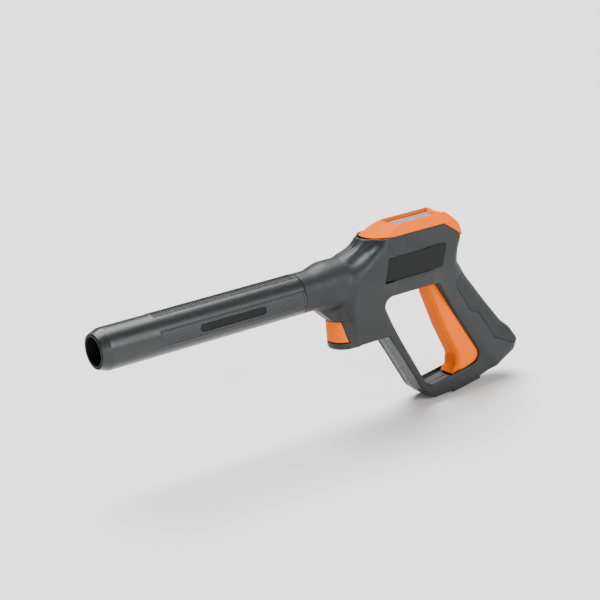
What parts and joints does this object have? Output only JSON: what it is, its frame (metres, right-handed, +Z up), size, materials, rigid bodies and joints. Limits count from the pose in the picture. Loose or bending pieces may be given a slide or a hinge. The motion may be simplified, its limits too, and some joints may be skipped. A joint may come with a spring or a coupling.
{
  "type": "trigger spray gun",
  "caption": "Pressure-washer trigger gun: a ribbed round barrel with a lance socket, a housing with a closed finger loop, a long trigger, a hose socket with a release button and a display.",
  "frame": {"origin": "centre of the barrel's mouth, on the barrel's axis", "axes": "+X out of the barrel's mouth, +Y to the gun's left, +Z up, away from the handle"},
  "size_m": [0.456, 0.05, 0.1797],
  "materials": {
    "charcoal_plastic": "satin, fine grain",
    "inlay_plastic": "satin",
    "orange_plastic": "satin",
    "grip_rubber": "soft matt",
    "seal_rubber": "smooth",
    "brass_parts": "machined",
    "steel_parts": "machined",
    "display_lens": "clear, glossy",
    "display_panel": "glossy",
    "circuit_board": "lacquered"
  },
  "bodies": {
    "gun": {"barrel_sleeve": "charcoal_plastic", "barrel_panel_left": "charcoal_plastic", "barrel_panel_right": "charcoal_plastic", "barrel_inlay_left": "inlay_plastic", "barrel_inlay_right": "inlay_plastic", "barrel_rib_strip": "charcoal_plastic", "lance_socket": "inlay_plastic", "lance_seal": "seal_rubber", "outlet_tube": "brass_parts", "tube_seal": "seal_rubber", "housing_left": "charcoal_plastic", "housing_right": "charcoal_plastic", "housing_screws": "steel_parts", "top_cover": "orange_plastic", "display_lens": "display_lens", "display_panel": "display_panel", "display_board": "circuit_board", "battery_cell": "steel_parts", "side_plate_left": "inlay_plastic", "side_plate_right": "inlay_plastic", "grip_insert": "grip_rubber", "foot_pad": "grip_rubber", "valve_body": "brass_parts", "valve_seat": "steel_parts", "valve_spring": "steel_parts", "stem_seal": "seal_rubber", "gland_nut": "brass_parts", "hose_socket": "brass_parts", "hose_guide": "inlay_plastic", "hose_seal": "seal_rubber", "latch_spring": "steel_parts", "trigger_pin": "steel_parts", "trigger_spring": "steel_parts"},
    "trigger": {"trigger": "orange_plastic"},
    "valve_stem": {"valve_stem": "steel_parts"},
    "hose_release": {"release_button": "orange_plastic", "hose_latch": "steel_parts"}
  },
  "joints": [
    {"name": "trigger_pull", "type": "hinge", "parent": "gun", "child": "trigger", "pos_m": [-0.358, 0, -0.009], "axis": [0, 1, 0], "range_deg": [0, 10], "stiffness_Nm_per_rad": 2.5, "springref_deg": -8.59},
    {"name": "stem_slide", "type": "slide", "parent": "gun", "child": "valve_stem", "axis": [1, 0, 0], "range_m": [0, 0.0016], "deforming": ["valve_spring"]},
    {"name": "release_slide", "type": "slide", "parent": "gun", "child": "hose_release", "axis": [-1, 0, 0], "range_m": [0, 0.003], "stiffness_N_per_m": 800, "springref_m": -0.003, "deforming": ["latch_spring"]}
  ],
  "couplings": [
    {"joint": "stem_slide", "follows": "trigger_pull", "m_per_rad": 0.009}
  ]
}
